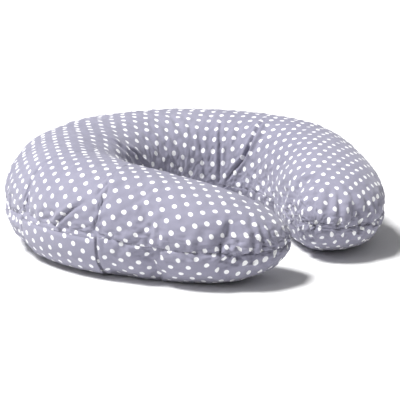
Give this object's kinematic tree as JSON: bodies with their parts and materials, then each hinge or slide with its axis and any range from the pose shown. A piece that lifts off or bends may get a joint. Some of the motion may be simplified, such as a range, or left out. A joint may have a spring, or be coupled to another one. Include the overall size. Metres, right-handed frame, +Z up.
{
  "type": "nursing pillow",
  "caption": "C-shaped nursing pillow with a dotted cotton cover, a zip under a hemmed flap, and a fibre-filled inner case.",
  "frame": {"origin": "on the floor, under the middle of the pillow's outline", "axes": "+Z up; the mouth of the C opens toward -Y; the flap and zip are on the -X side"},
  "size_m": [0.5509, 0.5613, 0.152],
  "materials": {
    "cover_cotton": "lilac grey cotton with small white dots",
    "thread": "pale lilac sewing thread",
    "zip_tape": "woven polyester tape",
    "zip_nylon": "nylon coil",
    "zip_metal": "nickel-plated",
    "label_satin": "blank satin ribbon",
    "case_cotton": "plain undyed cotton",
    "fibre": "loose polyester fibre"
  },
  "bodies": {
    "pillow": {"cover_top": "cover_cotton", "cover_bottom": "cover_cotton", "seam_allowance": "cover_cotton", "seam_stitch": "thread", "zip_tape_upper": "zip_tape", "zip_tape_lower": "zip_tape", "zip_teeth_upper": "zip_nylon", "zip_teeth_lower": "zip_nylon", "zip_stitch_upper": "thread", "zip_stitch_lower": "thread", "zip_top_stops": "zip_metal", "zip_bottom_stop": "zip_metal", "care_label": "label_satin", "inner_case_top": "case_cotton", "inner_case_bottom": "case_cotton", "inner_case_stitch": "thread", "fibre_fill": "fibre"},
    "flap": {"zip_flap": "cover_cotton", "flap_hem_stitch": "thread"},
    "slider": {"zip_slider": "zip_metal"},
    "pull": {"zip_pull": "zip_metal"}
  },
  "joints": [
    {"name": "flap_lift", "type": "hinge", "parent": "pillow", "child": "flap", "pos_m": [-0.27374, -0.02834, 0.057], "axis": [-0.1219, 0.9925, 0], "range_deg": [0, 120]},
    {"name": "zip_travel", "type": "hinge", "parent": "pillow", "child": "slider", "pos_m": [0, 0.00527, 0.04408], "axis": [0, 0, -1], "range_deg": [0, 22]},
    {"name": "pull_swing", "type": "hinge", "parent": "slider", "child": "pull", "pos_m": [-0.25603, -0.07866, 0.0435], "axis": [-0.9356, -0.3067, -0.1752], "range_deg": [-45, 45]}
  ]
}
